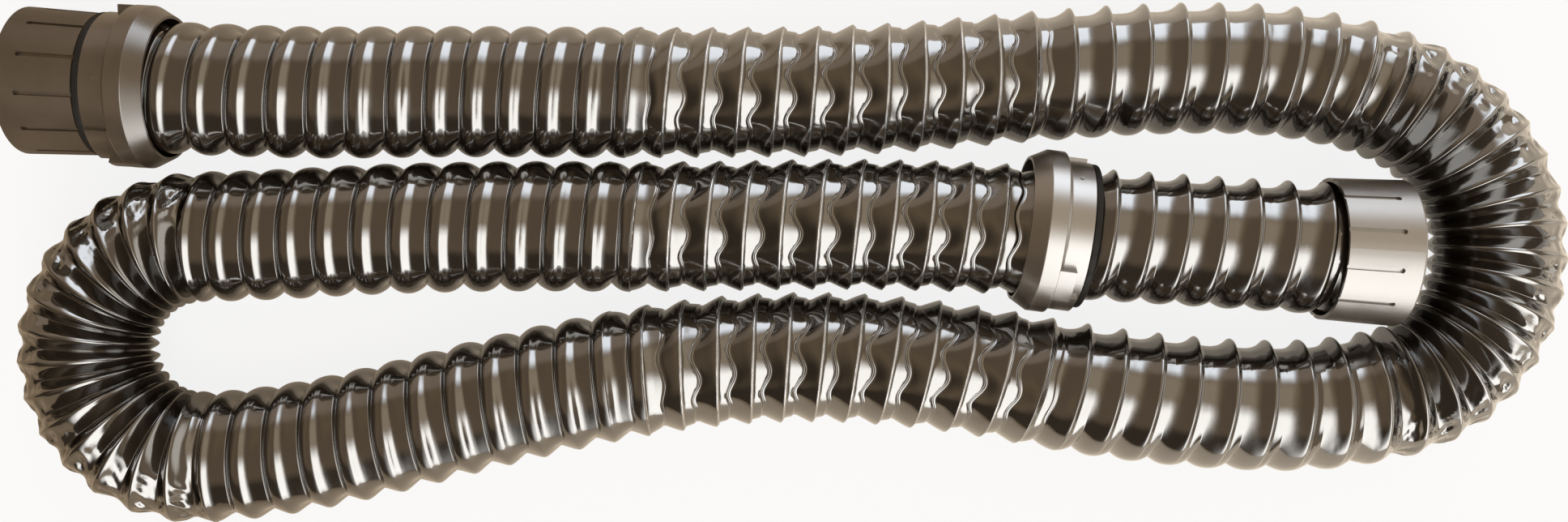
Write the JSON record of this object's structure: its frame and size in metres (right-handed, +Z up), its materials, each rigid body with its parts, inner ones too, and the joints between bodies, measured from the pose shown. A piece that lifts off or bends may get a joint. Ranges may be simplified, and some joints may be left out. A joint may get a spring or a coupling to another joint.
{
  "type": "pool vacuum hose",
  "caption": "Corrugated vacuum hose laid in three passes, with grooved swivel cuffs and sliding lugged lock rings at both ends.",
  "frame": {"origin": "on the floor, under the middle of the box that the cuffs and lock rings span", "axes": "+X along the passes towards the bend beside the second cuff, +Y towards the pass that starts in the first cuff, +Z up from the floor"},
  "size_m": [0.538, 0.1813, 0.056],
  "materials": {
    "hose": "glossy film over a wire helix",
    "cuff": "fine satin",
    "lock_ring": "satin",
    "bush": "satin",
    "split_ring": "bright",
    "rubber": "matte"
  },
  "bodies": {
    "hose": {"hose": "hose", "bush_a": "bush", "split_ring_a": "split_ring", "o_ring_a": "rubber", "bush_b": "bush", "split_ring_b": "split_ring", "o_ring_b": "rubber"},
    "cuff_a": {"cuff_a": "cuff"},
    "cuff_b": {"cuff_b": "cuff"},
    "gasket_a": {"gasket_a": "rubber"},
    "lock_ring_a": {"lock_ring_a": "lock_ring"},
    "gasket_b": {"gasket_b": "rubber"},
    "lock_ring_b": {"lock_ring_b": "lock_ring"}
  },
  "joints": [
    {"name": "cuff_a_turn", "type": "hinge", "parent": "hose", "child": "cuff_a", "pos_m": [-0.23697, 0.02947, 0.028], "axis": [0.9985, -0.0553, 0], "continuous": true},
    {"name": "cuff_b_turn", "type": "hinge", "parent": "hose", "child": "cuff_b", "pos_m": [0.23676, -0.03029, 0.028], "axis": [-0.9981, 0.0614, 0], "continuous": true},
    {"name": "ring_a_slide", "type": "slide", "parent": "hose", "child": "gasket_a", "axis": [0.9985, -0.0553, 0], "range_m": [0, 0.012]},
    {"name": "ring_a_turn", "type": "hinge", "parent": "gasket_a", "child": "lock_ring_a", "pos_m": [-0.19953, 0.0274, 0.028], "axis": [0.9985, -0.0553, 0], "continuous": true},
    {"name": "ring_b_slide", "type": "slide", "parent": "hose", "child": "gasket_b", "axis": [0.9981, -0.0614, 0], "range_m": [0, 0.08]},
    {"name": "ring_b_turn", "type": "hinge", "parent": "gasket_b", "child": "lock_ring_b", "pos_m": [0.11749, -0.02295, 0.028], "axis": [-0.9914, 0.1309, 0], "continuous": true}
  ]
}
